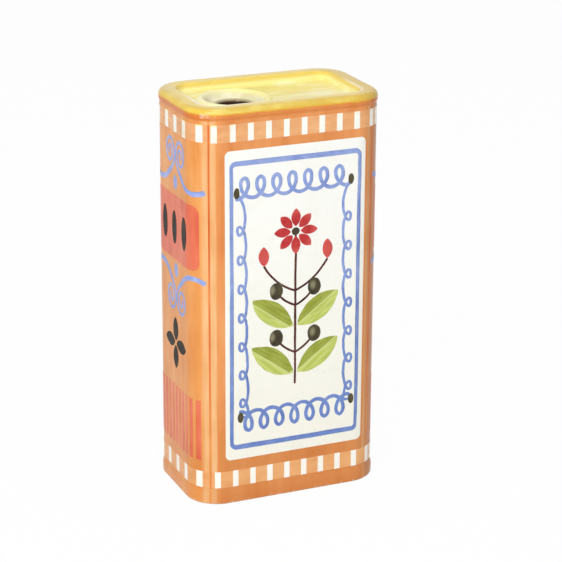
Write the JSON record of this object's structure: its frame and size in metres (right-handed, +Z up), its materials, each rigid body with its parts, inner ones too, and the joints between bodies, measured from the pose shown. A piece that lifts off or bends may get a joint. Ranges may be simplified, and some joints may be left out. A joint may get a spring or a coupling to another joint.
{
  "type": "olive oil tin",
  "caption": "Tall glazed ceramic oil tin with rounded corners, a thick rolled rim and a dished pouring collar in its recessed top.",
  "frame": {"origin": "centre of the standing surface, under the foot ring", "axes": "+Z up, the labelled front faces -Y, the pouring collar lies towards -X"},
  "size_m": [0.1196, 0.0756, 0.24],
  "materials": {
    "clay": "matt bare clay",
    "slip": "matt bare clay",
    "liner_glaze": "gloss clear glaze",
    "orange_glaze": "gloss, brushed, streaky",
    "yellow_glaze": "gloss, pooled at the edges",
    "band_paint": "gloss",
    "white_paint": "gloss",
    "blue_paint": "gloss, brushed line",
    "dark_paint": "gloss",
    "stem_paint": "gloss, brushed line",
    "leaf_paint": "gloss, brushed, two greens",
    "red_paint": "gloss",
    "coral_paint": "gloss, brushed",
    "column_paint": "gloss, brushed",
    "line_paint": "gloss, brushed line"
  },
  "bodies": {
    "root": {"vessel_walls": "clay", "base_slab": "clay", "rolled_rim": "clay", "top_panel": "clay", "pouring_collar": "clay", "base_joint_slip": "slip", "rim_joint_slip": "slip", "panel_joint_slip": "slip", "collar_joint_slip": "slip", "liner_glaze": "liner_glaze", "wall_glaze": "orange_glaze", "top_glaze": "yellow_glaze", "upper_band_ground": "band_paint", "lower_band_ground": "band_paint", "upper_band_bars": "white_paint", "lower_band_bars": "white_paint", "corner_columns": "column_paint", "corner_lines": "line_paint", "front_label_ground": "white_paint", "front_keyline": "blue_paint", "front_loop_border": "blue_paint", "front_corner_dots": "dark_paint", "front_posy_stems": "stem_paint", "front_posy_leaves": "leaf_paint", "front_posy_berries": "dark_paint", "front_posy_flowers": "red_paint", "back_label_ground": "white_paint", "back_keyline": "blue_paint", "back_loop_border": "blue_paint", "back_corner_dots": "dark_paint", "back_posy_stems": "stem_paint", "back_posy_leaves": "leaf_paint", "back_posy_berries": "dark_paint", "back_posy_flowers": "red_paint", "left_panel": "coral_paint", "left_panel_drops": "dark_paint", "left_scrolls": "blue_paint", "left_rosette": "dark_paint", "left_side_bars": "coral_paint", "right_panel": "coral_paint", "right_panel_drops": "dark_paint", "right_scrolls": "blue_paint", "right_rosette": "dark_paint", "right_side_bars": "coral_paint"}
  },
  "joints": []
}
